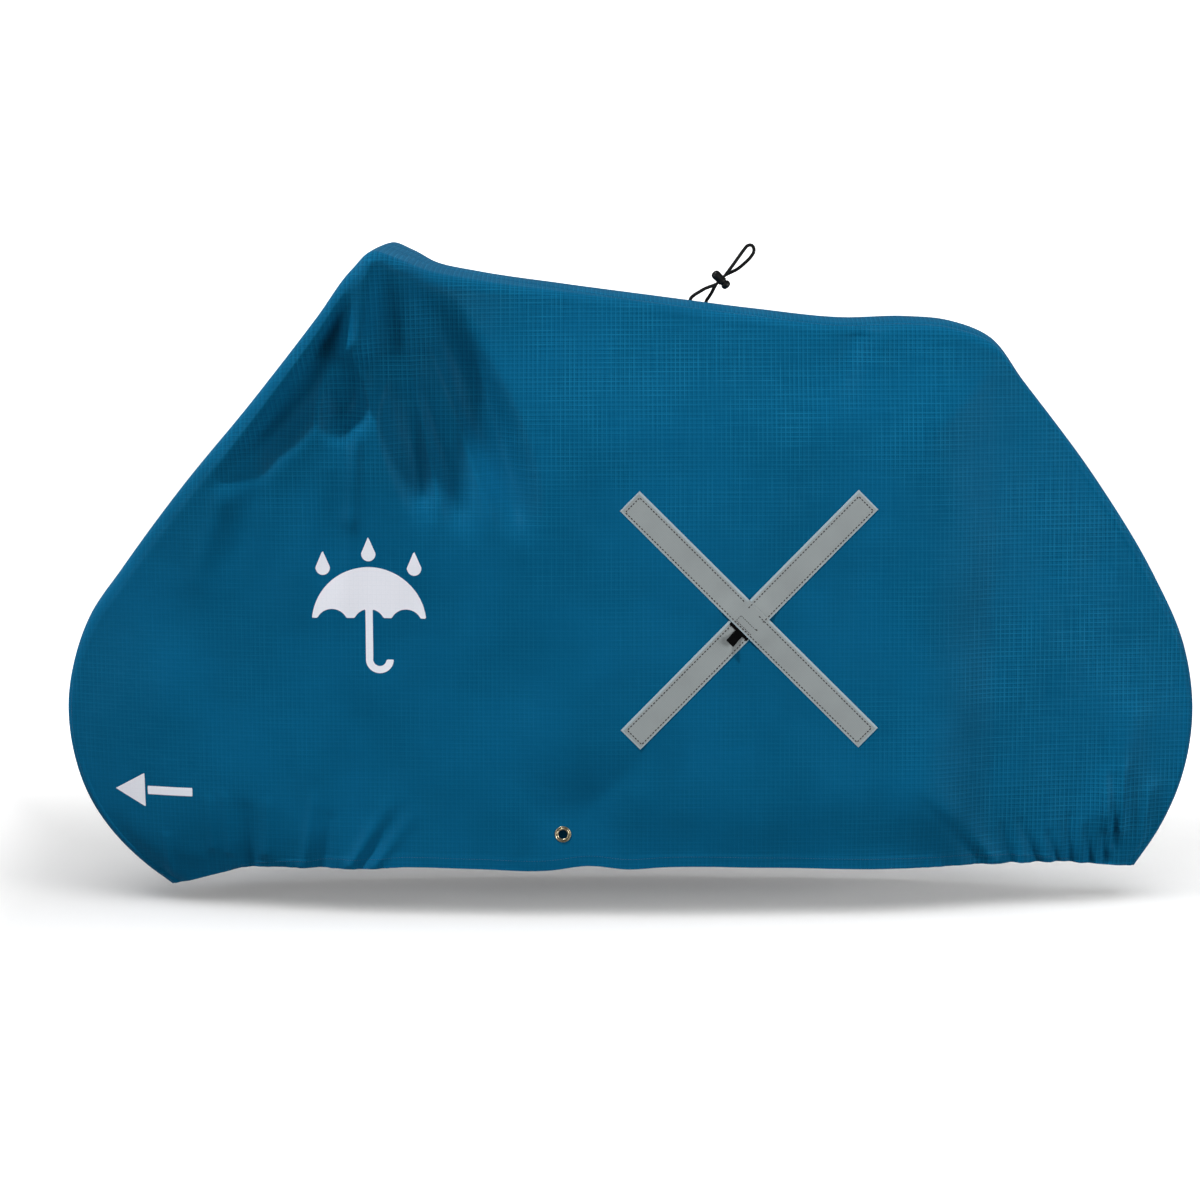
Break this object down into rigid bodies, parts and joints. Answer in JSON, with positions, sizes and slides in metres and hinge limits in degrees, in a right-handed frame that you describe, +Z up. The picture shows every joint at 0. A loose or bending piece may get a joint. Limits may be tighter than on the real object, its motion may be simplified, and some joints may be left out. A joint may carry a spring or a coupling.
{
  "type": "bicycle cover",
  "caption": "Fitted fabric cover for a parked bicycle, with a gusset over the top, an elastic hem, a reflective tape cross, a hem eyelet and a drawcord with a cord lock.",
  "frame": {"origin": "the point under the cloth of the front peak, on the centre plane, where the bicycle's handlebar holds the cover up; the ground is 1.144 m below it", "axes": "+X to the rear along the cover, -Y out of the near side that carries the tape cross, +Z up"},
  "size_m": [1.9695, 0.5635, 1.1189],
  "materials": {
    "ripstop": "blue coated ripstop polyester, low sheen",
    "reflective_tape": "grey retroreflective tape, stitched along its edges",
    "webbing": "black woven webbing",
    "eyelet_brass": "antique brass, rolled",
    "cord": "black braided elastic cord",
    "lock_plastic": "black moulded plastic, fine texture"
  },
  "bodies": {
    "cover": {"side_panel_near": "ripstop", "side_panel_far": "ripstop", "centre_gusset": "ripstop", "eyelet_strip": "ripstop", "eyelet": "eyelet_brass", "tape_long": "reflective_tape", "tape_upper": "reflective_tape", "tape_lower": "reflective_tape", "pull_tab": "webbing", "drawcord": "cord", "cord_lock_body": "lock_plastic"},
    "cord_lock_button": {"cord_lock_button": "lock_plastic"}
  },
  "joints": [
    {"name": "cord_lock_press", "type": "slide", "parent": "cover", "child": "cord_lock_button", "axis": [-0.7071, 0, 0.7071], "range_m": [0, 0.003], "stiffness_N_per_m": 500, "springref_m": -0.002}
  ]
}
